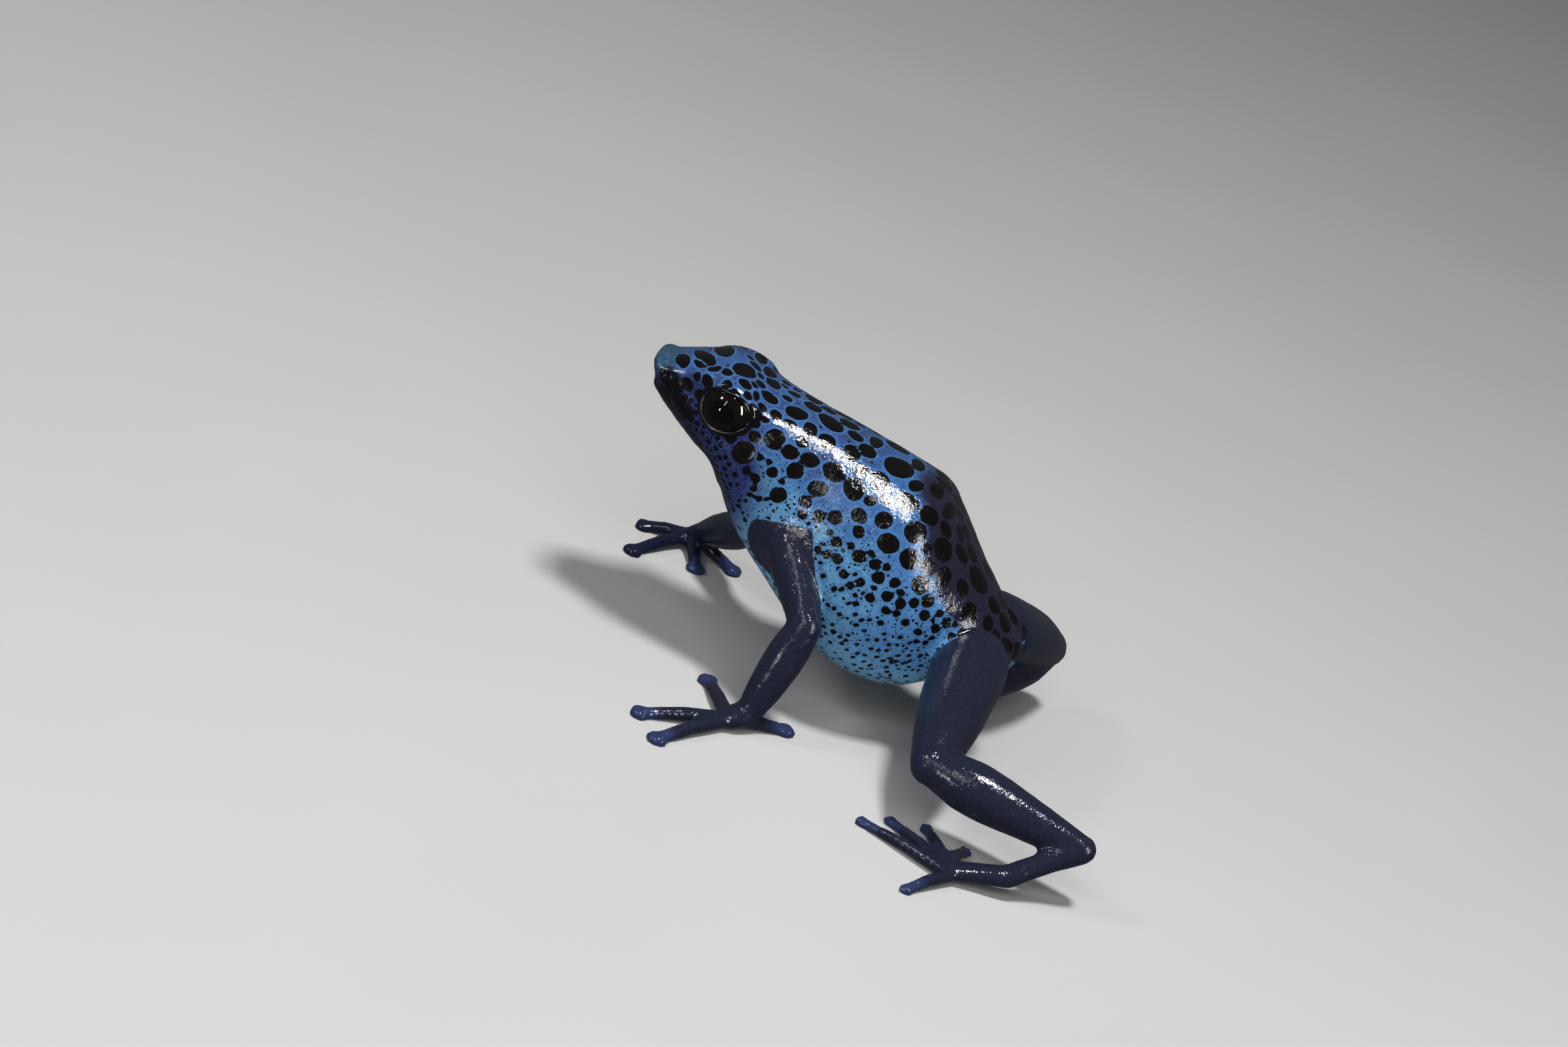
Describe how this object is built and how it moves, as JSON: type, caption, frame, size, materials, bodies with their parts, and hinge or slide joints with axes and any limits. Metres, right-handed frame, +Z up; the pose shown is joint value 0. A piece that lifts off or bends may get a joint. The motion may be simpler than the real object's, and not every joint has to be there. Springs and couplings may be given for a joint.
{
  "type": "blue poison dart frog, life-size still model",
  "caption": "Still life-size model of a blue poison dart frog standing on all fours with its head raised, its skin azure with black spots and its limbs dark blue.",
  "frame": {"origin": "middle of the bounding box, on the floor that the hands and feet stand on", "axes": "+Z up, -X the way the frog faces, -Y its left side, +Y the longest extent, across the spread right arm and left leg"},
  "size_m": [0.055, 0.0584, 0.0289],
  "materials": {
    "spotted_skin": "wet, finely grained skin, azure with brown-black spots",
    "limb_skin": "wet, finely grained skin, navy with fine paler stipple",
    "digit_skin": "wet, smooth skin, dark cobalt",
    "eye": "wet gloss, black-brown"
  },
  "bodies": {
    "root": {"head": "spotted_skin", "torso": "spotted_skin", "left_eye": "eye", "left_upper_arm": "limb_skin", "left_forearm": "limb_skin", "left_hand": "digit_skin", "left_finger_1": "digit_skin", "left_finger_2": "digit_skin", "left_finger_3": "digit_skin", "left_finger_4": "digit_skin", "left_thigh": "limb_skin", "left_shank": "limb_skin", "left_tarsus": "limb_skin", "left_foot": "digit_skin", "left_toe_1": "digit_skin", "left_toe_2": "digit_skin", "left_toe_3": "digit_skin", "left_toe_4": "digit_skin", "left_toe_5": "digit_skin", "right_eye": "eye", "right_upper_arm": "limb_skin", "right_forearm": "limb_skin", "right_hand": "digit_skin", "right_finger_1": "digit_skin", "right_finger_2": "digit_skin", "right_finger_3": "digit_skin", "right_finger_4": "digit_skin", "right_thigh": "limb_skin", "right_shank": "limb_skin", "right_tarsus": "limb_skin", "right_foot": "digit_skin", "right_toe_1": "digit_skin", "right_toe_2": "digit_skin", "right_toe_3": "digit_skin", "right_toe_4": "digit_skin", "right_toe_5": "digit_skin"}
  },
  "joints": []
}
